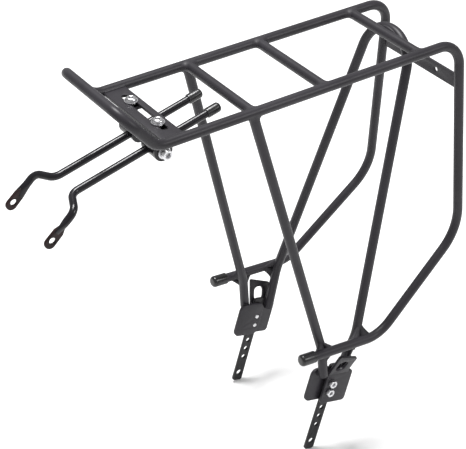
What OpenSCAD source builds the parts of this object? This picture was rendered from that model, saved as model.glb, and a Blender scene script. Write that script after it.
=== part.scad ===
// Rear pannier rack for a bicycle.
// Two side frames, a three-bar deck, an upswept front hoop, bolt-on feet
// and two adjustable stays that reach forward to the seat stays.
// +X points to the rear of the bicycle, +Y to its right, +Z up.
// The origin is halfway between the two foot holes.

/* [Deck] */
// Distance between the centre lines of the two deck rails
rail_spacing = 110; // [104:1:116]
// Height of the rail centre lines over the foot holes
deck_height = 425; // [420:1:435]
// Place of the front cross tube
front_cross_x = -70; // [-74:1:-66]
// Place of the middle cross tube
middle_cross_x = 12; // [4:1:20]
// Place of the rear cross tube
rear_cross_x = 126; // [122:1:130]
// Place where the rails turn up into the front hoop
hoop_x = -172; // [-176:1:-170]
// Place where the rails turn down behind the deck
tail_x = 176; // [172:1:182]

/* [Front hoop] */
// Slope of the hoop, measured up from the deck
hoop_tilt = 50; // [40:1:60]
// Length of the hoop along its slope
hoop_rise = 50; // [46:1:60]

/* [Tubes] */
// Outer diameter of every frame tube
tube_d = 10; // [9:0.5:11]
// Wall of the frame tubes
tube_wall = 1.5; // [1:0.1:2]
// Outward lean of the side frames below the rails
side_splay = 5; // [4.5:0.1:5.5]

/* [Feet] */
// Distance of the foot strips from the middle plane
foot_y = 68.5; // [68:0.1:69]
// Backward lean of the foot strips
foot_lean = 16.6; // [15:0.1:18]
// Width of a foot strip
strip_w = 12.5; // [11:0.5:13]
// Thickness of the foot strips and of the plates around them
plate_t = 3; // [2.8:0.1:3.1]
// Bore of the foot holes
foot_bore_d = 6.4; // [5.5:0.1:6.6]
// Distance between neighbouring adjusting holes
hole_pitch = 11; // [10.8:0.1:11.2]

/* [Stays] */
// Diameter of the stay rods
rod_d = 7.5; // [7:0.1:7.8]
// Slope of the stay rods down to the front
rod_pitch = 13.4; // [10:0.1:16]
// Distance of the stay rods from the middle plane
rod_y = 15.5; // [15.2:0.1:15.8]
// Length of rod in front of its clamp
rod_front_reach = 89; // [80:1:100]
// Length of rod behind its clamp
rod_rear_reach = 70; // [60:1:74]

/* [Hidden] */
$fn = 48;

powder_black = "#35333a";
gloss_black = "#18171b";
bright_steel = "#c9c9cc";

// Clearance left between faces that a weld joins
weld_gap = 0.1;
// Seam between a straight run of tube and the bend that follows it
seam = 0.02;
// Longer than any hole that is cut
through = 40;

rail_y = rail_spacing / 2;
tube_r = tube_d / 2;

// Places along the main tube
rail_front_x = hoop_x + 14;
rail_bend_r = 26;
rail_rear_x = tail_x - rail_bend_r - 2;
hoop_bend_r = 20;

// The side loop lies in one plane that hangs from the rail and leans outward
tail_split_drop = 150;
tail_corner_x = tail_x + 6;
tail_corner_drop = 216;
tail_corner_r = 55;
low_corner_x = tail_x - 100.5;
low_corner_drop = 306.5;
low_corner_r = 42;
low_end_x = -24;
low_end_drop = 294.7;

// Place on the side loop where the struts cross the low tube
crossing_drop = 302;
crossing_z = deck_height - crossing_drop * cos(side_splay);
low_tube_y = rail_y + crossing_drop * sin(side_splay);
strut_y = low_tube_y - tube_d - weld_gap;

// Feet: heights along the strip, counted from the foot hole
strip_low_end = -10.5;
first_hole = 21.5;
hole_count = 7;
strip_top = first_hole + hole_count * hole_pitch;
bolt_heights = [first_hole + 4 * hole_pitch, first_hole + 5 * hole_pitch];
foot_bolt_d = 5;
inner_plate_y = foot_y - plate_t;
outer_plate_y = foot_y + plate_t;
inner_plate_top = 93;
outer_plate_top = 90;
ear_bend_u = 88;
ear_tilt = 20;

// Stays
bolt_d = 6;
clamp_x = -151;
clamp_z = deck_height - 25;
clamp_r = 9.5;
deck_plate_t = 3;
slot_w = 6.8;
slot_reach = 37;
slot_bolt_y = 23;
hanger_t = 3;
hanger_top_z = deck_height - deck_plate_t / 2;
ear_y = 28.5;
barrel_end_y = 8;
rod_fit = 0.05;
rod_direction = [-cos(rod_pitch), 0, -sin(rod_pitch)];

// ---------------------------------------------------------------- helpers

function unit(v) = v / norm(v);
function turn_angle(a, b) = acos(max(-1, min(1, unit(a) * unit(b))));
function setback(a, b, r) = r * tan(turn_angle(a, b) / 2);

// Point on the side loop, "drop" millimetres down its leaning plane
function side_point(x, drop) =
    [x, rail_y + drop * sin(side_splay), deck_height - drop * cos(side_splay)];

// Point in the frame of a foot strip: w across it, u up along it
function foot_point(w, y, u) =
    [w * cos(foot_lean) + u * sin(foot_lean), y, u * cos(foot_lean) - w * sin(foot_lean)];

module ring(d, wall) {
    difference() {
        circle(d = d);
        if (wall > 0) circle(d = d - 2 * wall);
    }
}

// Straight run of tube from one point to another
module straight(from, to, d, wall = 0) {
    v = to - from;
    translate(from)
        rotate([0, acos(v[2] / norm(v)), atan2(v[1], v[0])])
            linear_extrude(norm(v)) ring(d, wall);
}

// Bend of radius r that rounds the corner between two runs
module bend(corner, before, after, r, d, wall = 0) {
    n = unit(cross(before, after));
    tilt = acos(n[2]);
    swing = atan2(n[1], n[0]);
    start = corner - unit(before) * setback(before, after, r);
    out = unit(cross(before, n));
    x_axis = [cos(tilt) * cos(swing), cos(tilt) * sin(swing), -sin(tilt)];
    y_axis = [-sin(swing), cos(swing), 0];
    translate(start - out * r)
        rotate([0, tilt, swing])
            rotate([0, 0, atan2(out * y_axis, out * x_axis)])
                rotate_extrude(angle = turn_angle(before, after))
                    translate([r, 0]) ring(d, wall);
}

// Tube through a list of points, bent at each inner point by the radius given
module bent_tube(points, radii, d = tube_d, wall = tube_wall) {
    last = len(points) - 1;
    runs = [for (i = [0 : last - 1]) points[i + 1] - points[i]];
    cuts = [for (i = [0 : last])
        i == 0 || i == last ? seam : setback(runs[i - 1], runs[i], radii[i - 1]) + seam];
    union() {
        for (i = [0 : last - 1])
            straight(points[i] + unit(runs[i]) * cuts[i],
                     points[i + 1] - unit(runs[i]) * cuts[i + 1], d, wall);
        for (i = [1 : last - 1])
            bend(points[i], runs[i - 1], runs[i], radii[i - 1], d, wall);
    }
}

module on_left() {
    mirror([0, 1, 0]) children();
}

// Places a drawing of a foot plate: x across the strip, y up along it
module foot_plate(y_middle, thickness = plate_t) {
    translate([0, y_middle + thickness / 2, 0])
        rotate([0, foot_lean, 0])
            rotate([90, 0, 0])
                linear_extrude(thickness) children();
}

module rounded_rectangle(x0, x1, y0, y1, r) {
    union() {
        translate([x0 + r, y0]) square([x1 - x0 - 2 * r, y1 - y0]);
        translate([x0, y0 + r]) square([x1 - x0, y1 - y0 - 2 * r]);
        for (x = [x0 + r, x1 - r], y = [y0 + r, y1 - r]) translate([x, y]) circle(r);
    }
}

// Slot with round ends, along y
module slot_outline(w, reach) {
    union() {
        translate([-w / 2, -reach + w / 2]) square([w, 2 * reach - w]);
        for (side = [-1, 1]) translate([0, side * (reach - w / 2)]) circle(d = w);
    }
}

// Cylinder along Y, from one place to another
module y_cylinder(x, z, from, to, d) {
    translate([x, to, z]) rotate([90, 0, 0]) cylinder(d = d, h = to - from);
}

// Hexagon socket in a bolt head, sunk from the face at height h
module hex_socket(size, depth, h) {
    translate([0, 0, h - depth]) cylinder(d = size / cos(30), h = depth + 1, $fn = 6);
}

// ---------------------------------------------------------------- main tube

function hoop_point(side, along) =
    [hoop_x - along * cos(hoop_tilt), side * rail_y, deck_height + along * sin(hoop_tilt)];

module front_hoop() {
    color(powder_black)
        bent_tube([[rail_front_x, rail_y, deck_height], hoop_point(1, 0),
                   hoop_point(1, hoop_rise), hoop_point(-1, hoop_rise),
                   hoop_point(-1, 0), [rail_front_x, -rail_y, deck_height]],
                  [hoop_bend_r, hoop_bend_r, hoop_bend_r, hoop_bend_r]);
}

module right_rail() {
    color(powder_black)
        straight([rail_front_x, rail_y, deck_height], [rail_rear_x, rail_y, deck_height],
                 tube_d, tube_wall);
}

module left_rail() {
    on_left() right_rail();
}

// Point on the tail tube, on the straight line between its two corners
function tail_point(drop) =
    side_point(tail_x + (tail_corner_x - tail_x) * drop / tail_corner_drop, drop);

module right_tail_tube() {
    color(powder_black)
        bent_tube([[rail_rear_x, rail_y, deck_height], side_point(tail_x, 0),
                   tail_point(tail_split_drop)], [rail_bend_r]);
}

module left_tail_tube() {
    on_left() right_tail_tube();
}

module right_lower_tube() {
    color(powder_black)
        bent_tube([tail_point(tail_split_drop), side_point(tail_corner_x, tail_corner_drop),
                   side_point(low_corner_x, low_corner_drop),
                   side_point(low_end_x, low_end_drop)],
                  [tail_corner_r, low_corner_r]);
}

module left_lower_tube() {
    on_left() right_lower_tube();
}

module solid_rails(d = tube_d) {
    for (side = [-1, 1])
        straight([rail_front_x, side * rail_y, deck_height],
                 [rail_rear_x, side * rail_y, deck_height], d);
}

// Cross tube with its ends coped to the rails
module cross_tube(x) {
    color(powder_black)
        difference() {
            straight([x, -rail_y, deck_height], [x, rail_y, deck_height], tube_d, tube_wall);
            solid_rails(tube_d + 2 * weld_gap);
        }
}

module front_cross_tube() {
    cross_tube(front_cross_x);
}

module middle_cross_tube() {
    cross_tube(middle_cross_x);
}

module rear_cross_tube() {
    cross_tube(rear_cross_x);
}

// ---------------------------------------------------------------- struts

// Front strut: from under the rail down to the inner plate of the foot
strut_end_y = foot_y - plate_t / 2 + tube_r;
strut_end_w = -15;
strut_end_u = 88;
strut_end = foot_point(strut_end_w, strut_end_y, strut_end_u);
strut_kink_x = 8;
strut_kink = [strut_kink_x, strut_y, crossing_z];
strut_bend_r = 60;

module right_front_strut() {
    color(powder_black)
        difference() {
            bent_tube([[front_cross_x, rail_y - 1, deck_height - 2], strut_kink, strut_end],
                      [strut_bend_r]);
            solid_rails();
            straight([front_cross_x, -rail_y, deck_height],
                     [front_cross_x, rail_y, deck_height], tube_d);
            plate_relief(inner_plate_y, inner_plate_top);
        }
}

// Space of a foot plate, cut from the tube that is welded to its face
module plate_relief(y_middle, top) {
    foot_plate(y_middle, plate_t + weld_gap) translate([-30, top - 50]) square([70, 51]);
}

module left_front_strut() {
    on_left() right_front_strut();
}

// The arch stands in a plane that leans forward as it goes down
arch_lean = 15.5;
arch_r = 34;
arch_open = 7.4;
arch_rise = 1;
arch_gap = (tube_d + weld_gap + arch_rise * sin(arch_lean)) / cos(arch_lean);
arch_top = [rear_cross_x + arch_gap, 0, deck_height + arch_rise];

function arch_point(y, down) =
    [arch_top[0] - down * sin(arch_lean), y, arch_top[2] - down * cos(arch_lean)];

arch_shoulder_y = arch_r * cos(arch_open);
arch_shoulder_down = arch_r * (1 - sin(arch_open));
arch_crossing_down = (arch_top[2] - crossing_z) / cos(arch_lean);
arch_crossing_y = arch_shoulder_y
    + (arch_crossing_down - arch_shoulder_down) * tan(arch_open);
arch_leg_end = foot_point(14, foot_y + plate_t / 2 - tube_r, 86);

module arch_bow() {
    color(powder_black)
        translate(arch_top)
            rotate([0, arch_lean, 0])
                translate([0, 0, -arch_r])
                    rotate([90, 0, 90])
                        rotate([0, 0, arch_open])
                            rotate_extrude(angle = 180 - 2 * arch_open)
                                translate([arch_r, 0]) ring(tube_d, tube_wall);
}

module right_arch_leg() {
    color(powder_black)
        difference() {
            bent_tube([arch_point(arch_shoulder_y, arch_shoulder_down),
                       arch_point(arch_crossing_y, arch_crossing_down),
                       arch_leg_end], [strut_bend_r]);
            plate_relief(outer_plate_y, outer_plate_top);
        }
}

module left_arch_leg() {
    on_left() right_arch_leg();
}

// ---------------------------------------------------------------- plates

module slot_plate() {
    rear_x = hoop_x + 31;
    front_x = hoop_x + 8;
    color(powder_black)
        difference() {
            translate([front_x, -rail_y, deck_height - deck_plate_t / 2])
                cube([rear_x - front_x, 2 * rail_y, deck_plate_t]);
            for (side = [-1, 1])
                straight([front_x - 20, side * rail_y, deck_height],
                         [rear_x + 1, side * rail_y, deck_height], tube_d + weld_gap);
            translate([clamp_x, 0, deck_height - through / 2])
                linear_extrude(through) slot_outline(slot_w, slot_reach);
        }
}

// Plate between the tail tubes that carries a rear light or reflector
light_plate_drop = 45;
light_plate_h = 15;
light_hole_y = 25;
light_hole_d = 5.5;
light_plate_x = tail_point(light_plate_drop)[0];
light_plate_z = deck_height - light_plate_drop;

module light_plate() {
    color(powder_black)
        difference() {
            translate([light_plate_x, 0, light_plate_z])
                cube([deck_plate_t, 2 * rail_y + 6, light_plate_h], center = true);
            for (side = [-1, 1])
                translate([light_plate_x - through / 2, side * light_hole_y, light_plate_z])
                    rotate([0, 90, 0]) cylinder(d = light_hole_d, h = through);
            tail_tube_solid();
            on_left() tail_tube_solid();
        }
}

module tail_tube_solid() {
    straight(tail_point(10), tail_point(light_plate_drop + 50), tube_d + weld_gap);
}

// ---------------------------------------------------------------- feet

module bolt_holes() {
    for (u = bolt_heights) translate([0, u]) circle(d = foot_bolt_d + 0.4);
}

// Plate on the inner side of the strip, welded to the front strut
module right_inner_plate() {
    color(powder_black)
        foot_plate(inner_plate_y)
            difference() {
                rounded_rectangle(-26, 6.5, 53, inner_plate_top, 7);
                bolt_holes();
            }
}

module left_inner_plate() {
    on_left() right_inner_plate();
}

// Plate on the outer side of the strip, with an ear for a pannier hook
module right_outer_plate() {
    color(powder_black)
        foot_plate(outer_plate_y)
            difference() {
                rounded_rectangle(-8, 26, 51, outer_plate_top, 4);
                bolt_holes();
            }
    color(powder_black) pannier_ear();
}

// Ear at the top of the outer plate, bent outward so that a hook can reach into it
module pannier_ear() {
    translate([0, outer_plate_y, 0])
        rotate([0, foot_lean, 0])
            translate([0, 0, ear_bend_u])
                rotate([90 - ear_tilt, 0, 0])
                    linear_extrude(plate_t, center = true)
                        difference() {
                            polygon([[-7.8, -0.2], [20, -0.2], [18, 6], [18, 24.5], [-9, 30]]);
                            rounded_rectangle(-3.5, 9, 5.5, 20.5, 5);
                        }
}

module left_outer_plate() {
    on_left() right_outer_plate();
}

// Foot strip: flat bar with a foot hole and a row of adjusting holes
module right_foot_strip() {
    r = strip_w / 2;
    color(gloss_black)
        foot_plate(foot_y)
            difference() {
                rounded_rectangle(-r, r, strip_low_end, strip_top, 3);
                circle(d = foot_bore_d);
                for (i = [0 : hole_count - 1])
                    translate([0, first_hole + i * hole_pitch]) circle(d = foot_bolt_d + 0.2);
            }
}

module left_foot_strip() {
    on_left() right_foot_strip();
}

// Two socket-head bolts on each side clamp the strip between its plates
module foot_bolts() {
    head_h = 4.5;
    outer_face = outer_plate_y + plate_t / 2;
    color(bright_steel)
        for (side = [-1, 1], u = bolt_heights)
            translate([foot_point(0, 0, u)[0], side * outer_face, foot_point(0, 0, u)[2]])
                rotate([-90 * side, 0, 0])
                    difference() {
                        union() {
                            cylinder(d = 8.5, h = head_h);
                            translate([0, 0, -3 * plate_t - 1])
                                cylinder(d = foot_bolt_d, h = 3 * plate_t + 2);
                        }
                        hex_socket(4, 2.5, head_h);
                    }
}

// Plastic cap over the front end of the low tube
module right_tube_cap() {
    wall = 1.3;
    cap_l = 18;
    skirt = 15;
    run = side_point(low_end_x, low_end_drop) - side_point(low_corner_x, low_corner_drop);
    tip = side_point(low_end_x, low_end_drop);
    d = tube_d + 2 * wall;
    color(gloss_black)
        translate(tip)
            rotate([0, acos(unit(run)[2]), atan2(run[1], run[0])])
                difference() {
                    union() {
                        translate([0, 0, -skirt]) cylinder(d = d, h = cap_l - 3);
                        translate([0, 0, cap_l - skirt - 3]) cylinder(d1 = d, d2 = d - 4, h = 3);
                    }
                    translate([0, 0, -skirt - 1]) cylinder(d = tube_d + 0.1, h = skirt + 1);
                }
}

module left_tube_cap() {
    on_left() right_tube_cap();
}

// ---------------------------------------------------------------- stays

// Angle bracket that hangs from the slot and carries the clamp
module right_hanger() {
    flange_in_y = slot_bolt_y - 8;
    color(gloss_black)
        difference() {
            union() {
                translate([clamp_x - clamp_r, flange_in_y, hanger_top_z - hanger_t])
                    cube([2 * clamp_r, ear_y + hanger_t - flange_in_y, hanger_t]);
                translate([clamp_x - clamp_r, ear_y, clamp_z])
                    cube([2 * clamp_r, hanger_t, hanger_top_z - clamp_z]);
                y_cylinder(clamp_x, clamp_z, ear_y, ear_y + hanger_t, 2 * clamp_r);
            }
            y_cylinder(clamp_x, clamp_z, ear_y - 1, ear_y + hanger_t + 1, bolt_d + 0.1);
            translate([clamp_x, slot_bolt_y, clamp_z])
                cylinder(d = bolt_d + 0.4, h = through);
        }
}

module left_hanger() {
    on_left() right_hanger();
}

slot_washer_t = 1.2;
nut_h = 5;

module right_slot_bolt() {
    seat_z = deck_height + deck_plate_t / 2 + slot_washer_t;
    shank_l = slot_washer_t + deck_plate_t + hanger_t + nut_h + 1;
    color(bright_steel)
        translate([clamp_x, slot_bolt_y, seat_z])
            difference() {
                union() {
                    cylinder(d = 11, h = 1);
                    translate([0, 0, 1]) cylinder(d1 = 11, d2 = 7, h = 2.3);
                    translate([0, 0, -shank_l]) cylinder(d = bolt_d, h = shank_l + 0.5);
                }
                hex_socket(4, 2, 3.3);
            }
}

module left_slot_bolt() {
    on_left() right_slot_bolt();
}

module right_slot_washer() {
    color(bright_steel)
        translate([clamp_x, slot_bolt_y, deck_height + deck_plate_t / 2])
            difference() {
                cylinder(d = 13, h = slot_washer_t);
                translate([0, 0, -1]) cylinder(d = bolt_d + 0.4, h = slot_washer_t + 2);
            }
}

module left_slot_washer() {
    on_left() right_slot_washer();
}

module right_slot_nut() {
    color(bright_steel)
        translate([clamp_x, slot_bolt_y, hanger_top_z - hanger_t - nut_h])
            difference() {
                cylinder(d = 10 / cos(30), h = nut_h, $fn = 6);
                translate([0, 0, -1]) cylinder(d = bolt_d + 0.1, h = nut_h + 2);
            }
}

module left_slot_nut() {
    on_left() right_slot_nut();
}

// Point on the straight axis of a stay rod, counted forward from its clamp
function rod_point(along) = [clamp_x, rod_y, clamp_z] + along * rod_direction;

// Round barrel that the rod slides through and the clamp bolt presses on
module right_clamp_barrel() {
    thread_end_y = rod_y + rod_d / 2 + 1;
    color(gloss_black)
        difference() {
            y_cylinder(clamp_x, clamp_z, barrel_end_y, ear_y, 2 * clamp_r);
            straight(rod_point(-through), rod_point(through), rod_d + 2 * rod_fit);
            y_cylinder(clamp_x, clamp_z, thread_end_y, ear_y + 1, bolt_d + 0.1);
        }
}

module left_clamp_barrel() {
    on_left() right_clamp_barrel();
}

clamp_washer_t = 1.5;

module right_clamp_washer() {
    face_y = ear_y + hanger_t;
    color(bright_steel)
        difference() {
            y_cylinder(clamp_x, clamp_z, face_y, face_y + clamp_washer_t, 12.5);
            y_cylinder(clamp_x, clamp_z, face_y - 1, face_y + clamp_washer_t + 1, bolt_d + 0.4);
        }
}

module left_clamp_washer() {
    on_left() right_clamp_washer();
}

module right_clamp_bolt() {
    head_y = ear_y + hanger_t + clamp_washer_t;
    tip_y = rod_y + rod_d / 2 + 1.2;
    head_h = 6;
    color(bright_steel)
        translate([clamp_x, head_y, clamp_z])
            rotate([-90, 0, 0])
                difference() {
                    union() {
                        cylinder(d = 10, h = head_h);
                        translate([0, 0, tip_y - head_y]) cylinder(d = bolt_d, h = head_y - tip_y + 1);
                    }
                    hex_socket(5, 3, head_h);
                }
}

module left_clamp_bolt() {
    on_left() right_clamp_bolt();
}

// Stay rod: straight, then a step outward, then down to a flat drilled end
rod_bend_r = 10;
rod_step_start = rod_point(rod_front_reach);
rod_step_end = rod_step_start + [-9, 21, -3.5];
rod_tip_direction = unit([-31, 0, -28]);
flat_start = 10;
flat_end = 23;
paddle_hole = 32.5;
paddle_end = 41;
paddle_w = 11.5;
paddle_t = 3;
paddle_bore_d = 6.4;

function paddle_centre() = rod_step_end + rod_tip_direction * paddle_hole;

module right_stay_rod() {
    rod_tip = rod_step_end + rod_tip_direction * flat_end;
    color(gloss_black)
        difference() {
            union() {
                difference() {
                    bent_tube([rod_point(-rod_rear_reach), rod_step_start, rod_step_end, rod_tip],
                              [rod_bend_r, rod_bend_r], rod_d, 0);
                    along_paddle() {
                        flattening();
                        on_left() flattening();
                    }
                }
                along_paddle()
                    translate([0, paddle_t / 2, 0])
                        rotate([90, 0, 0]) linear_extrude(paddle_t) paddle_outline();
            }
            y_cylinder(paddle_centre()[0], paddle_centre()[2], 0, 60, paddle_bore_d);
        }
}

// Frame with its origin where the rod turns down and x pointing back along it
module along_paddle() {
    translate(rod_step_end)
        rotate([0, atan2(rod_tip_direction[2], -rod_tip_direction[0]), 0]) children();
}

// Sloping cut that thins the rod towards its flat end
module flattening() {
    thin = paddle_t / 2 + 0.2;
    translate([0, 0, -rod_d])
        linear_extrude(2 * rod_d)
            polygon([[-flat_start, rod_d / 2 + 0.2], [-flat_start, rod_d],
                     [-flat_end - 2, rod_d], [-flat_end - 2, thin], [-flat_end, thin]]);
}

// Outline of the flat end in the plane of the hole
module paddle_outline() {
    r = paddle_w / 2;
    union() {
        translate([-(paddle_end - r), 0]) circle(r);
        polygon([[-(paddle_end - r), r], [-flat_end, r], [-flat_start - 4, rod_d / 2 - 1],
                 [-flat_start - 4, 1 - rod_d / 2], [-flat_end, -r], [-(paddle_end - r), -r]]);
    }
}

module left_stay_rod() {
    on_left() right_stay_rod();
}

module right_rod_cap() {
    wall = 1.1;
    cap_l = 15;
    skirt = 12;
    d = rod_d + 2 * wall;
    tip = rod_point(-rod_rear_reach);
    color(gloss_black)
        translate(tip)
            rotate([0, 90 - rod_pitch, 0])
                difference() {
                    union() {
                        translate([0, 0, -skirt]) cylinder(d = d, h = cap_l - 2);
                        translate([0, 0, cap_l - skirt - 2]) cylinder(d1 = d, d2 = d - 3, h = 2);
                    }
                    translate([0, 0, -skirt - 1]) cylinder(d = rod_d + 0.1, h = skirt + 1);
                }
}

module left_rod_cap() {
    on_left() right_rod_cap();
}

// ---------------------------------------------------------------- nodes

front_hoop();
left_rail();
right_rail();
left_tail_tube();
right_tail_tube();
left_lower_tube();
right_lower_tube();
front_cross_tube();
middle_cross_tube();
rear_cross_tube();
slot_plate();
left_front_strut();
right_front_strut();
arch_bow();
left_arch_leg();
right_arch_leg();
light_plate();
left_inner_plate();
right_inner_plate();
left_outer_plate();
right_outer_plate();
left_foot_strip();
right_foot_strip();
foot_bolts();
left_tube_cap();
right_tube_cap();
left_hanger();
right_hanger();
left_slot_bolt();
right_slot_bolt();
left_slot_washer();
right_slot_washer();
left_slot_nut();
right_slot_nut();
left_clamp_barrel();
right_clamp_barrel();
left_clamp_bolt();
right_clamp_bolt();
left_clamp_washer();
right_clamp_washer();
left_stay_rod();
right_stay_rod();
left_rod_cap();
right_rod_cap();
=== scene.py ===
"""Rear pannier rack: the visual model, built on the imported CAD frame.

Lengths in the layout below are millimetres, as on a drawing. MM turns them into metres.
+X points to the rear of the bicycle, +Y to its right, +Z up.
"""
import math

import bmesh
import bpy
from mathutils import Matrix, Vector


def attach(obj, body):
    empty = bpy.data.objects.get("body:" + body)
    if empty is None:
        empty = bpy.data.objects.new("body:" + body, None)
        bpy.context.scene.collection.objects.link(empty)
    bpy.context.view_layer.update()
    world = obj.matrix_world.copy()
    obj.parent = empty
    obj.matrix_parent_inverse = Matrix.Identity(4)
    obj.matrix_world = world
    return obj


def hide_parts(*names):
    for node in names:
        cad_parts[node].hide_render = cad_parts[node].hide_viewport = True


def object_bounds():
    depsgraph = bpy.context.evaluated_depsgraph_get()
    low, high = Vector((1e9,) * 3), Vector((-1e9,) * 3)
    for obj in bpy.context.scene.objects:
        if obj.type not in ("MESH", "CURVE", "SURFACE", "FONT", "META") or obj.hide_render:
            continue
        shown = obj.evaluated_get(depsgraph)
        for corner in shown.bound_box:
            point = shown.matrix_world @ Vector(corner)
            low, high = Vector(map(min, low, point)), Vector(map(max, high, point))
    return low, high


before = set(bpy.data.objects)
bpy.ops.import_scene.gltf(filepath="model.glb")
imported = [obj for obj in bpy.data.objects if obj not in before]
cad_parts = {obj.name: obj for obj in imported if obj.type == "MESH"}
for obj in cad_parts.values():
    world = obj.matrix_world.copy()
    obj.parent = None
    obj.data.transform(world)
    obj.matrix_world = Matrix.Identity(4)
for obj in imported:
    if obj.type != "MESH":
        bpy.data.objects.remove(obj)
cad_low, cad_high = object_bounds()
MM = 0.001
SLIDE_GAP = 0.03

# ---------------------------------------------------------------- layout

RAIL_Y = 55
DECK_Z = 425
HOOP_X = -172
TAIL_X = 176
CROSS_X = (-70, 12, 126)
HOOP_TILT = math.radians(50)
HOOP_RISE = 50
HOOP_BEND = 20
TUBE_R = 5
SPLAY = math.radians(5)
RAIL_FRONT_X = HOOP_X + 14
RAIL_REAR_X = TAIL_X - 28
TAIL_SPLIT = 150
TAIL_CORNER = (TAIL_X + 6, 216)
LOW_CORNER = (TAIL_X - 100.5, 306.5)
LOW_END = (-24, 294.7)
CROSSING_DROP = 302
WELD_GAP = 0.1
CROSSING_Z = DECK_Z - CROSSING_DROP * math.cos(SPLAY)
STRUT_Y = RAIL_Y + CROSSING_DROP * math.sin(SPLAY) - 2 * TUBE_R - WELD_GAP
STRUT_BEND_R = 60
RAIL_BEND_R = 26
TAIL_BEND_R = 55
LOW_BEND_R = 42
LIGHT_DROP = 45

FOOT_Y = 68.5
FOOT_LEAN = math.radians(16.6)
PLATE_T = 3
FIRST_HOLE = 21.5
HOLE_PITCH = 11
BOLT_HEIGHTS = (FIRST_HOLE + 4 * HOLE_PITCH, FIRST_HOLE + 5 * HOLE_PITCH)
EAR_BEND_U = 88
EAR_TILT = math.radians(20)

ARCH_LEAN = math.radians(15.5)
ARCH_OPEN = math.radians(7.4)
ARCH_R = 34
ARCH_RISE = 1
ARCH_TOP_X = CROSS_X[2] + (10.1 + ARCH_RISE * math.sin(ARCH_LEAN)) / math.cos(ARCH_LEAN)

DECK_PLATE_T = 3
HANGER_T = 3
SLOT_WASHER_T = 1.2
SLOT_NUT_H = 5
CLAMP_WASHER_T = 1.5
CLAMP = Vector((-151, 15.5, DECK_Z - 25))
SLOT_BOLT_Y = 23
EAR_Y = 28.5
CLAMP_R = 9.5
ROD_PITCH = math.radians(13.4)
ROD_R = 3.75
ROD_DIRECTION = Vector((-math.cos(ROD_PITCH), 0, -math.sin(ROD_PITCH)))
ROD_STEP = Vector((-9, 21, -3.5))
ROD_TIP = Vector((-31, 0, -28)).normalized()
ROD_REAR_REACH = 70
ROD_FRONT_REACH = 89
PADDLE_HOLE = 32.5
PADDLE_END = 41

SIDES = {"left": -1, "right": 1}


def side_point(x, drop):
    """Point of the right side loop, which hangs from the rail and leans outward."""
    return Vector((x, RAIL_Y + drop * math.sin(SPLAY), DECK_Z - drop * math.cos(SPLAY)))


def tail_point(drop):
    return side_point(TAIL_X + (TAIL_CORNER[0] - TAIL_X) * drop / TAIL_CORNER[1], drop)


def foot_point(w, y, u):
    """Point in the frame of the right foot strip: w across it, u up along it."""
    c, s = math.cos(FOOT_LEAN), math.sin(FOOT_LEAN)
    return Vector((w * c + u * s, y, u * c - w * s))


def arch_point(y, down):
    return Vector((ARCH_TOP_X - down * math.sin(ARCH_LEAN), y,
                   DECK_Z + ARCH_RISE - down * math.cos(ARCH_LEAN)))


def hoop_point(side, along):
    return Vector((HOOP_X - along * math.cos(HOOP_TILT), side * RAIL_Y,
                   DECK_Z + along * math.sin(HOOP_TILT)))


def mirrored(points, side):
    return [Vector((p.x, p.y * side, p.z)) for p in points]


# ---------------------------------------------------------------- materials

class Nodes:
    """A short way to wire up one procedural material."""

    def __init__(self, name, slot):
        self.material = bpy.data.materials.new(name)
        self.material.use_nodes = True
        self.tree = self.material.node_tree
        self.shader = self.tree.nodes["Principled BSDF"]
        self.slot = slot
        self.place = self.add("ShaderNodeTexCoord").outputs["Object"]

    def add(self, kind, **settings):
        node = self.tree.nodes.new(kind)
        for key, value in settings.items():
            setattr(node, key, value)
        return node

    def link(self, source, target):
        self.tree.links.new(source, target)

    def noise(self, scale, detail=4.0, stretch=None):
        node = self.add("ShaderNodeTexNoise")
        node.inputs["Scale"].default_value = scale
        node.inputs["Detail"].default_value = detail
        place = self.place
        if stretch:
            mapping = self.add("ShaderNodeMapping")
            mapping.inputs["Scale"].default_value = stretch
            self.link(place, mapping.inputs["Vector"])
            place = mapping.outputs["Vector"]
        self.link(place, node.inputs["Vector"])
        return node.outputs["Fac"]

    def ramp(self, source, low, high, start=0.3, end=0.7):
        node = self.add("ShaderNodeValToRGB")
        first, last = node.color_ramp.elements
        first.position, last.position = start, end
        first.color, last.color = low, high
        self.link(source, node.inputs["Fac"])
        return node.outputs["Color"]

    def span(self, source, low, high):
        node = self.add("ShaderNodeMapRange")
        node.inputs["To Min"].default_value = low
        node.inputs["To Max"].default_value = high
        self.link(source, node.inputs["Value"])
        return node.outputs["Result"]

    def bump(self, height, distance, strength=1.0, below=None):
        node = self.add("ShaderNodeBump")
        node.inputs["Distance"].default_value = distance
        node.inputs["Strength"].default_value = strength
        self.link(height, node.inputs["Height"])
        if below is not None:
            self.link(below, node.inputs["Normal"])
        return node.outputs["Normal"]

    def set(self, **values):
        for key, value in values.items():
            self.shader.inputs[key.replace("_", " ")].default_value = value


def grey(r, g=None, b=None):
    return (r, r if g is None else g, r if b is None else b, 1)


def powder_coat():
    """Satin charcoal powder coat: fine orange peel, faint cloudiness, a few dull rubs."""
    n = Nodes("powder_coat", "powder_coat")
    cloud = n.noise(22, 5)
    n.link(n.ramp(cloud, grey(0.017, 0.0155, 0.019), grey(0.027, 0.025, 0.03)),
           n.shader.inputs["Base Color"])
    rub = n.noise(140, 6)
    n.link(n.span(rub, 0.32, 0.5), n.shader.inputs["Roughness"])
    peel = n.bump(n.noise(1500, 2), 0.00002, 0.6)
    n.link(n.bump(n.noise(260, 3), 0.00005, 0.4, peel), n.shader.inputs["Normal"])
    n.set(Specular_IOR_Level=0.3)
    return n


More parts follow.
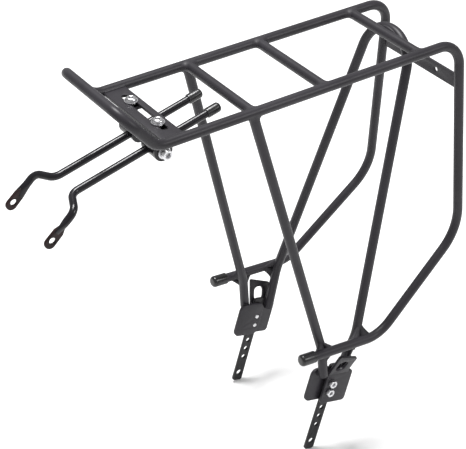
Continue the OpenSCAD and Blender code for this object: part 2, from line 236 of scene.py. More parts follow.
def weld_coat():
    """The same coat over a weld bead, which is rougher and ripples."""
    n = Nodes("powder_coat_weld", "powder_coat")
    n.link(n.ramp(n.noise(90, 5), grey(0.019, 0.0175, 0.021), grey(0.03, 0.028, 0.033)),
           n.shader.inputs["Base Color"])
    n.link(n.span(n.noise(300, 4), 0.42, 0.62), n.shader.inputs["Roughness"])
    peel = n.bump(n.noise(1300, 3), 0.00003, 0.6)
    n.link(n.bump(n.noise(420, 2), 0.0001, 0.5, peel), n.shader.inputs["Normal"])
    n.set(Specular_IOR_Level=0.3)
    return n


def gloss_paint():
    """Glossy black paint with slight waviness and fine dust in the finish."""
    n = Nodes("gloss_black_paint", "gloss_black_paint")
    n.link(n.ramp(n.noise(60, 5), grey(0.005, 0.0045, 0.006), grey(0.01, 0.009, 0.012)),
           n.shader.inputs["Base Color"])
    n.link(n.span(n.noise(120, 5), 0.22, 0.28), n.shader.inputs["Roughness"])
    n.link(n.bump(n.noise(90, 2), 0.000006, 0.3), n.shader.inputs["Normal"])
    n.set(Specular_IOR_Level=0.25, Coat_Weight=0.15, Coat_Roughness=0.12)
    return n


def strip_paint():
    """Semi-gloss black on the flat foot strips, with faint rolling marks."""
    n = Nodes("strip_black_paint", "gloss_black_paint")
    n.link(n.ramp(n.noise(80, 5), grey(0.007, 0.0065, 0.008), grey(0.014, 0.013, 0.015)),
           n.shader.inputs["Base Color"])
    n.link(n.span(n.noise(240, 6), 0.24, 0.42), n.shader.inputs["Roughness"])
    n.link(n.bump(n.noise(500, 3, (1, 1, 0.15)), 0.00002, 0.4), n.shader.inputs["Normal"])
    n.set(Specular_IOR_Level=0.3)
    return n


def paddle_paint():
    """Thinner paint on the flattened rod ends, which lets the warm steel through."""
    n = Nodes("paddle_paint", "gloss_black_paint")
    n.link(n.ramp(n.noise(110, 5), grey(0.008, 0.005, 0.005), grey(0.024, 0.01, 0.01)),
           n.shader.inputs["Base Color"])
    n.link(n.span(n.noise(200, 5), 0.24, 0.4), n.shader.inputs["Roughness"])
    n.link(n.bump(n.noise(400, 3), 0.00002, 0.4), n.shader.inputs["Normal"])
    n.set(Specular_IOR_Level=0.2)
    return n


def bright_steel():
    """Bright zinc plate with fine turning marks and slight tarnish."""
    n = Nodes("bright_steel", "bright_steel")
    n.link(n.ramp(n.noise(200, 5), grey(0.55, 0.55, 0.56), grey(0.68, 0.68, 0.7)),
           n.shader.inputs["Base Color"])
    n.link(n.span(n.noise(400, 5), 0.22, 0.34), n.shader.inputs["Roughness"])
    n.link(n.bump(n.noise(1800, 3), 0.000008, 0.4), n.shader.inputs["Normal"])
    n.set(Metallic=1.0)
    return n


def cap_plastic():
    """Glossy moulded plastic with a faint mould texture."""
    n = Nodes("cap_plastic", "cap_plastic")
    n.link(n.ramp(n.noise(70, 4), grey(0.008), grey(0.018, 0.018, 0.02)),
           n.shader.inputs["Base Color"])
    n.link(n.span(n.noise(400, 5), 0.18, 0.32), n.shader.inputs["Roughness"])
    n.link(n.bump(n.noise(700, 3), 0.00001, 0.4), n.shader.inputs["Normal"])
    return n


POWDER = powder_coat()
WELD = weld_coat()
GLOSS = gloss_paint()
STRIP = strip_paint()
PADDLE = paddle_paint()
STEEL = bright_steel()
PLASTIC = cap_plastic()

# ---------------------------------------------------------------- mesh helpers


def finish_piece(name, bm, finish, body, replaces=()):
    """Turns a bmesh in millimetres into a finished piece that rides on a body."""
    bmesh.ops.recalc_face_normals(bm, faces=bm.faces)
    bmesh.ops.scale(bm, vec=(MM, MM, MM), verts=bm.verts)
    if replaces:
        name += "_detail"
    mesh = bpy.data.meshes.new(name)
    bm.to_mesh(mesh)
    bm.free()
    piece = bpy.data.objects.new(name, mesh)
    bpy.context.scene.collection.objects.link(piece)
    mesh.materials.append(finish.material)
    mesh.shade_smooth()
    mesh.set_sharp_from_angle(angle=math.radians(40))
    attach(piece, body)
    if replaces:
        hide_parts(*replaces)
    return piece


def bent_path(points, radii, step=math.radians(4)):
    """Points along straight runs whose corners are rounded by the radii."""
    path = [points[0]]
    for i, radius in enumerate(radii):
        before = (points[i + 1] - points[i]).normalized()
        after = (points[i + 2] - points[i + 1]).normalized()
        turn = before.angle(after)
        start = points[i + 1] - before * radius * math.tan(turn / 2)
        inward = (after - before * before.dot(after)).normalized()
        count = max(3, round(turn / step))
        for k in range(count + 1):
            a = turn * k / count
            path.append(start + before * radius * math.sin(a) + inward * radius * (1 - math.cos(a)))
    return path + [points[-1]]


def directions(path, closed=False):
    count = len(path)
    result = []
    for i in range(count):
        a = path[i - 1] if closed or i > 0 else path[0]
        b = path[(i + 1) % count] if closed or i < count - 1 else path[-1]
        result.append((b - a).normalized())
    return result


def sweep(bm, path, radius, sides=28, closed=False, flat_axis=None, flatten=None):
    """Sweeps a round section along a path. flatten(i) gives (across, through) scales."""
    heading = directions(path, closed)
    across = flat_axis or heading[0].orthogonal().normalized()
    rings = []
    for i, point in enumerate(path):
        along = heading[i]
        across = (across - along * across.dot(along)).normalized()
        other = along.cross(across)
        r = radius(i) if callable(radius) else radius
        wide, thick = flatten(i) if flatten else (1, 1)
        ring = []
        for k in range(sides):
            a = 2 * math.pi * k / sides
            ring.append(bm.verts.new(point + across * r * thick * math.cos(a)
                                     + other * r * wide * math.sin(a)))
        rings.append(ring)
    count = len(rings)
    for i in range(count if closed else count - 1):
        join_rings(bm, rings[i], rings[(i + 1) % count])
    if not closed:
        bm.faces.new(rings[0])
        bm.faces.new(rings[-1])


def join_rings(bm, first, second):
    count = len(first)
    for k in range(count):
        n = (k + 1) % count
        bm.faces.new((first[k], first[n], second[n], second[k]))


def turned_rings(bm, rings, matrix, segments=48):
    """Rings about local Z, each given as (z, r) or (z, r, 'hex')."""
    made = []
    for ring in rings:
        z, r = ring[0], ring[1]
        verts = []
        for k in range(segments):
            a = 2 * math.pi * k / segments
            reach = r
            if len(ring) > 2:
                reach = r / math.cos((a + math.pi / 6) % (math.pi / 3) - math.pi / 6)
            place = Vector((reach * math.cos(a), reach * math.sin(a), z))
            verts.append(bm.verts.new(matrix @ place))
        made.append(verts)
    return made


def lathe(bm, rings, matrix):
    """Turned shape that is closed at both ends."""
    made = turned_rings(bm, rings, matrix)
    for first, second in zip(made, made[1:]):
        join_rings(bm, first, second)
    bm.faces.new(made[0])
    bm.faces.new(made[-1])


def aim(origin, axis):
    """Matrix that puts local Z along an axis at a place."""
    rotation = Vector((0, 0, 1)).rotation_difference(axis).to_matrix().to_4x4()
    return Matrix.Translation(origin) @ rotation


def circle_outline(x, y, r, count=32):
    return [(x + r * math.cos(2 * math.pi * k / count), y + r * math.sin(2 * math.pi * k / count))
            for k in range(count)]


def rounded_outline(corners, radii, count=6):
    """Closed outline with each corner rounded by its own radius."""
    outline = []
    total = len(corners)
    for i in range(total):
        here = Vector(corners[i])
        back = (Vector(corners[i - 1]) - here).normalized()
        ahead = (Vector(corners[(i + 1) % total]) - here).normalized()
        half = back.angle(ahead) / 2
        r = radii[i] if isinstance(radii, (list, tuple)) else radii
        centre = here + (back + ahead).normalized() * r / math.sin(half)
        first = here + back * r / math.tan(half) - centre
        last = here + ahead * r / math.tan(half) - centre
        swing = first.angle_signed(last)
        for k in range(count + 1):
            turned = Matrix.Rotation(-swing * k / count, 2) @ first
            outline.append(tuple(centre + turned))
    return outline


def plate(name, outlines, thickness, matrix, finish, body, replaces=(), bevel=0.4):
    """Flat plate with rounded edges, from an outline and the outlines of its holes."""
    curve = bpy.data.curves.new(name, "CURVE")
    curve.dimensions = "2D"
    curve.fill_mode = "BOTH"
    curve.extrude = thickness / 2 - bevel
    curve.bevel_depth = bevel
    curve.bevel_resolution = 2
    curve.offset = -bevel
    for outline in outlines:
        spline = curve.splines.new("POLY")
        spline.points.add(len(outline) - 1)
        for point, (x, y) in zip(spline.points, outline):
            point.co = (x, y, 0, 1)
        spline.use_cyclic_u = True
    drawing = bpy.data.objects.new(name + "_outline", curve)
    bpy.context.scene.collection.objects.link(drawing)
    bpy.context.view_layer.update()
    mesh = bpy.data.meshes.new_from_object(drawing)
    bpy.data.objects.remove(drawing)
    bm = bmesh.new()
    bm.from_mesh(mesh)
    bmesh.ops.remove_doubles(bm, verts=bm.verts, dist=0.001)
    bmesh.ops.transform(bm, matrix=matrix, verts=bm.verts)
    return finish_piece(name, bm, finish, body, replaces)


# ---------------------------------------------------------------- tubes


def tube_piece(name, points, radii):
    bm = bmesh.new()
    sweep(bm, bent_path(points, radii), TUBE_R, 32)
    return finish_piece(name, bm, POWDER, "frame", [name])


def main_tube():
    hoop = [Vector((RAIL_FRONT_X, RAIL_Y, DECK_Z)), hoop_point(1, 0), hoop_point(1, HOOP_RISE),
            hoop_point(-1, HOOP_RISE), hoop_point(-1, 0), Vector((RAIL_FRONT_X, -RAIL_Y, DECK_Z))]
    tube_piece("front_hoop", hoop, [HOOP_BEND] * 4)
    for side, sign in SIDES.items():
        rail = [Vector((RAIL_FRONT_X, RAIL_Y, DECK_Z)), Vector((RAIL_REAR_X, RAIL_Y, DECK_Z))]
        tail = [Vector((RAIL_REAR_X, RAIL_Y, DECK_Z)), side_point(TAIL_X, 0),
                tail_point(TAIL_SPLIT)]
        lower = [tail_point(TAIL_SPLIT), side_point(*TAIL_CORNER), side_point(*LOW_CORNER),
                 side_point(*LOW_END)]
        tube_piece(side + "_rail", mirrored(rail, sign), [])
        tube_piece(side + "_tail_tube", mirrored(tail, sign), [RAIL_BEND_R])
        tube_piece(side + "_lower_tube", mirrored(lower, sign), [TAIL_BEND_R, LOW_BEND_R])


def cross_tubes():
    for name, x in zip(("front_cross_tube", "middle_cross_tube", "rear_cross_tube"), CROSS_X):
        end = RAIL_Y - TUBE_R + 1.2
        tube_piece(name, [Vector((x, -end, DECK_Z)), Vector((x, end, DECK_Z))], [])


def arch_shoulder():
    return arch_point(ARCH_R * math.cos(ARCH_OPEN), ARCH_R * (1 - math.sin(ARCH_OPEN)))


def arch_crossing():
    down = (DECK_Z + ARCH_RISE - CROSSING_Z) / math.cos(ARCH_LEAN)
    spread = (down - ARCH_R * (1 - math.sin(ARCH_OPEN))) * math.tan(ARCH_OPEN)
    return arch_point(ARCH_R * math.cos(ARCH_OPEN) + spread, down)


def strut_points():
    top = Vector((CROSS_X[0], RAIL_Y - 1, DECK_Z - 2))
    return [top, Vector((8, STRUT_Y, CROSSING_Z)), foot_point(-15, FOOT_Y + 3.5, 88)]


def struts():
    bow = []
    for k in range(49):
        a = ARCH_OPEN + (math.pi - 2 * ARCH_OPEN) * k / 48
        bow.append(arch_point(ARCH_R * math.cos(a), ARCH_R * (1 - math.sin(a))))
    bm = bmesh.new()
    sweep(bm, bow, TUBE_R, 32)
    finish_piece("arch_bow", bm, POWDER, "frame", ["arch_bow"])
    leg_end = foot_point(14, FOOT_Y - 3.5, 86)
    for side, sign in SIDES.items():
        tube_piece(side + "_front_strut", mirrored(strut_points(), sign),
                   [STRUT_BEND_R])
        tube_piece(side + "_arch_leg", mirrored([arch_shoulder(), arch_crossing(), leg_end], sign),
                   [STRUT_BEND_R])


# ---------------------------------------------------------------- welds


def saddle(point, along, axis_point, axis, radius=TUBE_R, other=TUBE_R, count=64):
    """Curve where a tube through point, heading along, first meets another tube."""
    along, axis = along.normalized(), axis.normalized()
    u = along.orthogonal().normalized()
    v = along.cross(u)
    curve = []
    for k in range(count):
        a = 2 * math.pi * k / count
        start = point + (u * math.cos(a) + v * math.sin(a)) * radius
        gap = start - axis_point
        across = along - axis * along.dot(axis)
        offset = gap - axis * gap.dot(axis)
        qa, qb, qc = across.dot(across), 2 * across.dot(offset), offset.dot(offset) - other ** 2
        root = max(0.0, qb * qb - 4 * qa * qc)
        curve.append(start + along * (-qb - math.sqrt(root)) / (2 * qa))
    return curve


def bead(bm, path, radius=2.0, closed=True):
    """Weld bead along a path, with the ripple of laid metal."""
    sweep(bm, path, lambda i: radius * (1 + 0.07 * math.sin(i * 1.9) + 0.04 * math.sin(i * 0.7)),
          12, closed)


def fillet(bm, point, along, axis_point, axis, reach=4.5, steps=7):
    """Smooth weld that spreads from a tube onto the tube it meets."""
    along, axis = along.normalized(), axis.normalized()
    rim = saddle(point, along, axis_point, axis)
    sections = []
    for corner in rim:
        outward = corner - point
        outward = (outward - along * outward.dot(along)).normalized()
        spread = corner + outward * reach - axis_point
        radial = spread - axis * spread.dot(axis)
        on_other = axis_point + axis * spread.dot(axis) + radial.normalized() * (TUBE_R + 0.05)
        on_tube = corner - along * reach + outward * 0.05
        root = corner - outward * 1.5 + along * 1.0
        section = []
        for k in range(steps + 1):
            t = k / steps
            lift = corner + outward * 0.1
            section.append(on_tube * (1 - t) ** 2 + lift * 2 * t * (1 - t) + on_other * t * t)
        sections.append([bm.verts.new(p) for p in section + [root]])
    for first, second in zip(sections, sections[1:] + sections[:1]):
        join_rings(bm, first, second)


def dense(a, b, count=16):
    return [a.lerp(b, k / count) for k in range(count + 1)]


def deck_welds():
    bm = bmesh.new()
    rail_axis = Vector((1, 0, 0))
    for sign in SIDES.values():
        rail = Vector((0, sign * RAIL_Y, DECK_Z))
        for x in CROSS_X:
            fillet(bm, Vector((x, 0, DECK_Z)), Vector((0, sign, 0)), rail, rail_axis)
        top, kink, _ = mirrored(strut_points(), sign)
        fillet(bm, kink, top - kink, rail, rail_axis, 5.5)
        for z in (-1, 1):
            y = sign * (RAIL_Y - TUBE_R + 0.2)
            bead(bm, dense(Vector((HOOP_X + 9, y, DECK_Z + z * 1.5)),
                           Vector((HOOP_X + 30, y, DECK_Z + z * 1.5))), 1.1, False)
    finish_piece("deck_welds", bm, WELD, "frame")


def plate_welds():
    bm = bmesh.new()
    for sign in SIDES.values():
        for x in (-1.5, 1.5):
            ends = []
            for dz in (-6.5, 6.5):
                place = tail_point(LIGHT_DROP - dz)
                ends.append(Vector((place.x + x, sign * (place.y - TUBE_R + 0.3), place.z)))
            bead(bm, dense(*ends), 1.0, False)
    finish_piece("light_plate_welds", bm, WELD, "frame")


def arch_welds():
    bm = bmesh.new()
    for lift in (-1, 1):
        path = [Vector((CROSS_X[2] + 5.4, y / 2, DECK_Z + 0.4 + lift * (2.9 - y * y / 400)))
                for y in range(-22, 23)]
        sweep(bm, path, lambda i: 0.3 + 1.7 * math.sin(math.pi * i / 44), 12)
    finish_piece("arch_welds", bm, WELD, "frame")


def corner_web(bm, centre, a, b, normal, rows=10, columns=12):
    """Weld metal in one corner between two tubes that lie across each other."""
    a, b = a.normalized(), b.normalized()
    half = a.angle(b) / 2
    corner = (a + b).normalized() * TUBE_R / math.sin(half)
    reach = corner.length + 10
    grids = []
    for face in (-1, 1):
        grid = []
        for i in range(columns + 1):
            s = i / columns
            edge = a * reach * (1 - s) ** 2 + corner * 2.3 * s * (1 - s) + b * reach * s * s
            middle = normal * TUBE_R * (2 * s - 1) * 0.9
            column = []
            for k in range(1, rows + 1):
                t = math.sin(math.pi / 2 * k / rows)
                height = 4.8 * math.sqrt(1 - t * t)
                column.append(bm.verts.new(centre + edge * t + middle + normal * face * height))
            grid.append(column)
        grids.append(grid)
    top, bottom = grids
    for i in range(columns):
        for k in range(rows - 1):
            for g in grids:
                bm.faces.new((g[i][k], g[i + 1][k], g[i + 1][k + 1], g[i][k + 1]))
        bm.faces.new((top[i][0], top[i + 1][0], bottom[i + 1][0], bottom[i][0]))
    for i in (0, columns):
        for k in range(rows - 1):
            bm.faces.new((top[i][k], top[i][k + 1], bottom[i][k + 1], bottom[i][k]))
    bmesh.ops.remove_doubles(bm, verts=bm.verts, dist=0.001)


def crossing_weld(bm, inner, outer, first, second):
    """Webs in all four corners where the outer tube runs across the inner one."""
    normal = (inner - outer) / 2
    centre = (inner + outer) / 2
    normal.normalize()
    for a, b in ((first, second), (first, -second), (-first, second), (-first, -second)):
        corner_web(bm, centre, a, b, normal)


def side_welds():
    bm = bmesh.new()
    for sign in SIDES.values():
        low_a, low_b = mirrored([side_point(*LOW_END), side_point(*LOW_CORNER)], sign)
        for corner, end in ((mirrored(strut_points(), sign)[1], mirrored(strut_points(), sign)[0]),
                            mirrored([arch_crossing(), arch_shoulder()], sign)):
            along = (low_b - low_a).normalized()
            foot = low_a + along * (corner - low_a).dot(along)
            crossing_weld(bm, corner, foot, along, (end - corner).normalized())
    finish_piece("side_welds", bm, WELD, "frame")


def foot_welds():
    bm = bmesh.new()
    for sign in SIDES.values():
        for w, y, low, high in ((-15, FOOT_Y - 1.3, 86, 94), (14.5, FOOT_Y + 1.3, 85, 108)):
            for edge in (-3.6, 3.6):
                path = dense(foot_point(w + edge, y, low), foot_point(w + edge * 0.95, y, high))
                bead(bm, mirrored(path, sign), 1.3, False)
    finish_piece("foot_welds", bm, WELD, "frame")


# ---------------------------------------------------------------- plates


def slot_plate():
    y = RAIL_Y - TUBE_R + 0.5
    front, rear = HOOP_X + 8, HOOP_X + 31
    slot = [(CLAMP.x + 3.4 * math.cos(a), s * 33.6 + 3.4 * math.sin(a))
            for s, turn in ((1, 0), (-1, math.pi))
            for a in [turn + math.pi * k / 16 for k in range(17)]]
    outline = [(front, -y), (rear, -y), (rear, y), (front, y)]
    plate("slot_plate", [outline, slot], 3, Matrix.Translation((0, 0, DECK_Z)), POWDER, "frame",
          ["slot_plate"])


def light_plate():
    place = tail_point(LIGHT_DROP)
    y = place.y - TUBE_R + 0.6
    matrix = Matrix.Translation((place.x, 0, DECK_Z - LIGHT_DROP)) @ Matrix(
        ((0, 0, 1, 0), (1, 0, 0, 0), (0, 1, 0, 0), (0, 0, 0, 1)))
    holes = [circle_outline(s * 25, 0, 2.75) for s in (-1, 1)]
    outline = [(-y + 0.6, -7.5), (y - 0.6, -7.5), (y, 7.5), (-y, 7.5)]
    plate("light_plate", [outline] + holes, 3, matrix, POWDER, "frame", ["light_plate"])


def foot_matrix(y, sign):
    """Drawing plane of a foot plate: x across the strip, y up along it."""
    c, s = math.cos(FOOT_LEAN), math.sin(FOOT_LEAN)
    return Matrix(((c, s, 0, 0), (0, 0, sign, sign * y), (-s, c, 0, 0), (0, 0, 0, 1)))


def ear_matrix(sign):
    """Drawing plane of the pannier ear, which bends outward from the outer plate."""
    bend = Matrix.Translation((0, EAR_BEND_U, 0)) @ Matrix.Rotation(EAR_TILT, 4, "X")
    return foot_matrix(FOOT_Y + PLATE_T, sign) @ bend


def foot_plates():
    strip_top = FIRST_HOLE + 7 * HOLE_PITCH
    bolt_holes = [circle_outline(0, u, 2.7) for u in BOLT_HEIGHTS]
    inner = rounded_outline([(-26, 53), (6.5, 53), (6.5, 93), (-26, 93)], 7)
    outer = rounded_outline([(-8, 51), (26, 51), (26, 90), (-8, 90)], 4)
    ear = rounded_outline([(-7.8, -0.2), (20, -0.2), (18, 6), (18, 24.5), (-9, 30)],
                          [0.3, 0.3, 1.5, 2.5, 2])
    ear_hole = rounded_outline([(-3.5, 5.5), (9, 5.5), (9, 20.5), (-3.5, 20.5)], 5)
    strip = rounded_outline([(-6.25, -10.5), (6.25, -10.5), (6.25, strip_top),
                             (-6.25, strip_top)], 3)
    strip_holes = [circle_outline(0, 0, 3.2)] + [
        circle_outline(0, FIRST_HOLE + i * HOLE_PITCH, 2.6) for i in range(7)]
    for side, sign in SIDES.items():
        plate(side + "_inner_plate", [inner] + bolt_holes, PLATE_T,
              foot_matrix(FOOT_Y - PLATE_T, sign), POWDER, "frame", [side + "_inner_plate"])
        plate(side + "_outer_plate", [outer] + bolt_holes, PLATE_T,
              foot_matrix(FOOT_Y + PLATE_T, sign), POWDER, "frame", [side + "_outer_plate"])
        plate(side + "_ear", [ear, ear_hole], PLATE_T, ear_matrix(sign), POWDER, "frame",
              [side + "_outer_plate"])
        plate(side + "_foot_strip", [strip] + strip_holes, PLATE_T,
              foot_matrix(FOOT_Y, sign), STRIP, "frame", [side + "_foot_strip"], 0.5)


# ---------------------------------------------------------------- fasteners


def socket_head(r, height, key, depth, shank_r, shank_l, edge=0.5):
    """Rings of a socket-head bolt, from the end of its shank to its socket's floor."""
    return [(-shank_l, shank_r - 0.5), (-shank_l + 0.6, shank_r), (0, shank_r), (0, r - 0.3),
            (0.3, r), (height - edge, r), (height - edge * 0.3, r - edge * 0.3),
            (height, r - edge), (height, key + 0.55), (height - 0.35, key, "hex"),
            (height - depth, key, "hex"), (height - depth - 0.7, 0.4, "hex")]


def button_head(r, height, key, depth, shank_r, shank_l):
    dome = [(height * math.sin(a), key + 0.8 + (r - key - 0.8) * math.cos(a))
            for a in [math.pi / 2 * k / 8 for k in range(1, 9)]]
    return ([(-shank_l, shank_r - 0.5), (-shank_l + 0.6, shank_r), (0, shank_r), (0, r - 0.2),
             (0.4, r)] + [(max(z, 0.45), q) for z, q in dome]
            + [(height - 0.3, key, "hex"), (height - depth, key, "hex"),
               (height - depth - 0.6, 0.4, "hex")])


def washer_rings(inner, outer, thickness, edge=0.2):
    return [(edge, inner), (0, inner + edge), (0, outer - edge), (edge, outer),
            (thickness - edge, outer), (thickness, outer - edge), (thickness, inner + edge),
            (thickness - edge, inner)]


def ring_piece(name, rings, matrix, finish, body, replaces=()):
    """Turned ring with a bore: its last ring joins its first."""
    bm = bmesh.new()
    made = turned_rings(bm, rings, matrix)
    for i, ring in enumerate(made):
        join_rings(bm, ring, made[(i + 1) % len(made)])
    return finish_piece(name, bm, finish, body, replaces)


def turned_piece(name, rings, matrix, finish, body, replaces=()):
    bm = bmesh.new()
    lathe(bm, rings, matrix)
    return finish_piece(name, bm, finish, body, replaces)


def foot_bolts():
    bm = bmesh.new()
    for sign in SIDES.values():
        for u in BOLT_HEIGHTS:
            place = foot_point(0, FOOT_Y + 1.5 * PLATE_T, u)
            seat = Vector((place.x, sign * place.y, place.z))
            lathe(bm, socket_head(4.25, 4.5, 2, 2.5, 2.5, 9.8), aim(seat, Vector((0, sign, 0))))
    finish_piece("foot_bolts", bm, STEEL, "frame", ["foot_bolts"])


def slot_fasteners(side, sign):
    body = side + "_hanger_body"
    deck_top = DECK_Z + DECK_PLATE_T / 2
    nut_base = DECK_Z - DECK_PLATE_T / 2 - HANGER_T - SLOT_NUT_H
    y = sign * SLOT_BOLT_Y
    up = Vector((0, 0, 1))
    turned_piece(side + "_slot_bolt", button_head(5.5, 3.3, 2, 2, 3, 13.2),
                 aim(Vector((CLAMP.x, y, deck_top + SLOT_WASHER_T)), up), STEEL, body,
                 [side + "_slot_bolt"])
    ring_piece(side + "_slot_washer", washer_rings(3.2, 6.5, SLOT_WASHER_T),
               aim(Vector((CLAMP.x, y, deck_top + SLIDE_GAP)), up), STEEL, body,
               [side + "_slot_washer"])
    nut = [(0.3, 3.05), (0, 3.5), (0, 4.7), (0.7, 5, "hex"), (4.3, 5, "hex"), (5, 4.7), (5, 3.5),
           (4.7, 3.05)]
    ring_piece(side + "_slot_nut", nut, aim(Vector((CLAMP.x, y, nut_base)), up), STEEL, body,
               [side + "_slot_nut"])


def clamp_fasteners(side, sign):
    body = side + "_clamp_body"
    outward = Vector((0, sign, 0))
    face = Vector((CLAMP.x, sign * (EAR_Y + HANGER_T), CLAMP.z))
    ring_piece(side + "_clamp_washer", washer_rings(3.2, 6.25, CLAMP_WASHER_T, 0.3),
               aim(face, outward), STEEL, body, [side + "_clamp_washer"])
    turned_piece(side + "_clamp_bolt", socket_head(5, 6, 2.5, 3, 3, 12.5),
                 aim(face + outward * CLAMP_WASHER_T, outward), STEEL, body, [side + "_clamp_bolt"])


# ---------------------------------------------------------------- stays


def hanger(side, sign):
    """Angle bracket: a flange under the slot and an ear that hangs from it."""
    top, thick = DECK_Z - DECK_PLATE_T / 2, HANGER_T
    x, r = CLAMP.x, CLAMP_R
    ear_top = top - SLIDE_GAP
    ear = [(x - r, CLAMP.z), (x - r, ear_top), (x + r, ear_top), (x + r, CLAMP.z)]
    ear += [(x + r * math.cos(a), CLAMP.z - r * math.sin(a))
            for a in [math.pi * k / 20 for k in range(1, 20)]]
    upright = Matrix(((1, 0, 0, 0), (0, 0, sign, sign * (EAR_Y + thick / 2)), (0, 1, 0, 0),
                      (0, 0, 0, 1)))
    plate(side + "_hanger_ear", [ear, circle_outline(x, CLAMP.z, 3.1)], thick - 2 * SLIDE_GAP,
          upright, GLOSS,
          side + "_hanger_body", [side + "_hanger"])
    flange = [(x - r, sign * (SLOT_BOLT_Y - 8)), (x + r, sign * (SLOT_BOLT_Y - 8)),
              (x + r, sign * (EAR_Y + thick)), (x - r, sign * (EAR_Y + thick))]
    plate(side + "_hanger_flange", [flange, circle_outline(x, sign * SLOT_BOLT_Y, 3.2)],
          thick - 2 * SLIDE_GAP,
          Matrix.Translation((0, 0, top - thick / 2)), GLOSS, side + "_hanger_body",
          [side + "_hanger"])


def rod_point(along):
    return CLAMP + ROD_DIRECTION * along


def stay_rod(side, sign):
    step_start = rod_point(ROD_FRONT_REACH)
    step_end = step_start + ROD_STEP
    tip = step_end + ROD_TIP * 25
    bm = bmesh.new()
    path = bent_path([rod_point(-ROD_REAR_REACH), step_start, step_end, step_end + ROD_TIP * 9],
                     [10, 10], math.radians(6))
    flat_from = len(path)
    path += dense(step_end + ROD_TIP * 10, tip, 14)

    def flatten(i):
        t = min(1.0, max(0.0, (i - flat_from) / 14))
        t = t * t * (3 - 2 * t)
        return 1 + 0.36 * t, 1 - 0.56 * t

    sweep(bm, mirrored(path, sign), ROD_R, 40, flat_axis=Vector((0, 1, 0)), flatten=flatten)
    finish_piece(side + "_stay_rod", bm, GLOSS, side + "_stay_body", [side + "_stay_rod"])


def stay_paddle(side, sign):
    step_end = rod_point(ROD_FRONT_REACH) + ROD_STEP
    r = 5.75
    centre = PADDLE_END - r
    outline = [(-18, 3.2), (-23, r - 0.3)]
    outline += [(-centre - r * math.sin(a), r * math.cos(a))
                for a in [math.pi * k / 24 for k in range(25)]]
    outline += [(-23, 0.3 - r), (-18, -3.2)]
    hole = circle_outline(-PADDLE_HOLE, 0, 3.2)
    x_axis = -ROD_TIP
    z_axis = Vector((0, sign, 0))
    y_axis = z_axis.cross(x_axis)
    matrix = Matrix.Translation((step_end.x, sign * step_end.y, step_end.z)) @ Matrix(
        (x_axis, y_axis, z_axis)).transposed().to_4x4()
    plate(side + "_stay_paddle", [outline, hole], 3, matrix, PADDLE, side + "_stay_body",
          [side + "_stay_rod"], 0.6)


def cap_rings(r, length, rim=0.4):
    dome = [(length - 3.2 + 3.2 * math.sin(a), r - 3.2 + 3.2 * math.cos(a))
            for a in [math.pi / 2 * k / 8 for k in range(9)]]
    return [(0, r - 1.2), (0, r - rim), (rim, r), (1.8, r), (2.0, r - 0.18), (2.4, r - 0.18),
            (2.6, r)] + dome


def caps():
    for side, sign in SIDES.items():
        end, corner = mirrored([side_point(*LOW_END), side_point(*LOW_CORNER)], sign)
        out = (end - corner).normalized()
        turned_piece(side + "_tube_cap", cap_rings(6.3, 18), aim(end - out * 15, out), PLASTIC,
                     "frame", [side + "_tube_cap"])
        tip = mirrored([rod_point(-ROD_REAR_REACH)], sign)[0]
        turned_piece(side + "_rod_cap", cap_rings(4.85, 15), aim(tip + ROD_DIRECTION * 12,
                                                                 -ROD_DIRECTION), PLASTIC,
                     side + "_stay_body", [side + "_rod_cap"])


# ---------------------------------------------------------------- stage


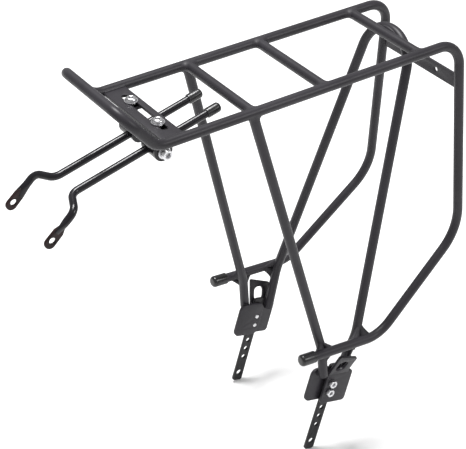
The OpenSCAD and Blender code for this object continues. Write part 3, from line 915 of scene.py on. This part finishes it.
def camera():
    azimuth, elevation, distance = math.radians(-34.41), math.radians(34.75), 1.3474
    target = Vector((-0.1001, -0.0666, 0.3214))
    back = Vector((math.sin(azimuth) * math.cos(elevation),
                   -math.cos(azimuth) * math.cos(elevation), math.sin(elevation)))
    data = bpy.data.cameras.new("camera")
    data.lens = 112.6
    data.sensor_width = 36
    data.clip_start, data.clip_end = 0.05, 20
    eye = bpy.data.objects.new("camera", data)
    eye.location = target + back * distance
    eye.rotation_euler = (-back).to_track_quat("-Z", "Y").to_euler()
    bpy.context.scene.collection.objects.link(eye)
    bpy.context.scene.camera = eye


def floor():
    bm = bmesh.new()
    bmesh.ops.create_grid(bm, x_segments=1, y_segments=1, size=6)
    mesh = bpy.data.meshes.new("floor")
    bm.to_mesh(mesh)
    bm.free()
    ground = bpy.data.objects.new("floor", mesh)
    ground.location.z = cad_low.z - 0.0005
    bpy.context.scene.collection.objects.link(ground)
    material = bpy.data.materials.new("floor")
    material.use_nodes = True
    shader = material.node_tree.nodes["Principled BSDF"]
    shader.inputs["Base Color"].default_value = grey(0.9)
    shader.inputs["Roughness"].default_value = 0.9
    mesh.materials.append(material)


def area_light(name, place, target, size, power):
    data = bpy.data.lights.new(name, "AREA")
    data.shape = "RECTANGLE"
    data.size, data.size_y = size
    data.energy = power
    lamp = bpy.data.objects.new(name, data)
    lamp.location = place
    lamp.rotation_euler = (Vector(target) - Vector(place)).to_track_quat("-Z", "Y").to_euler()
    bpy.context.scene.collection.objects.link(lamp)


def lights():
    bpy.context.scene.view_settings.view_transform = "Standard"
    middle = (0, 0, 0.25)
    area_light("key", (-0.1, 0.5, 2.6), middle, (0.9, 0.9), 84)
    area_light("fill", (1.2, -2.0, 1.8), middle, (0.6, 0.6), 20)
    world = bpy.data.worlds.new("studio")
    world.use_nodes = True
    background = world.node_tree.nodes["Background"]
    background.inputs["Color"].default_value = grey(1.0)
    background.inputs["Strength"].default_value = 0.5
    bpy.context.scene.world = world


# ---------------------------------------------------------------- build

camera()
lights()
floor()
main_tube()
cross_tubes()
struts()
deck_welds()
plate_welds()
arch_welds()
side_welds()
foot_welds()
slot_plate()
light_plate()
foot_plates()
foot_bolts()
for side_name, side_sign in SIDES.items():
    slot_fasteners(side_name, side_sign)
    clamp_fasteners(side_name, side_sign)
    hanger(side_name, side_sign)
    stay_rod(side_name, side_sign)
    stay_paddle(side_name, side_sign)
    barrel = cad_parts[side_name + "_clamp_barrel"]
    barrel.data.materials.clear()
    barrel.data.materials.append(GLOSS.material)
caps()
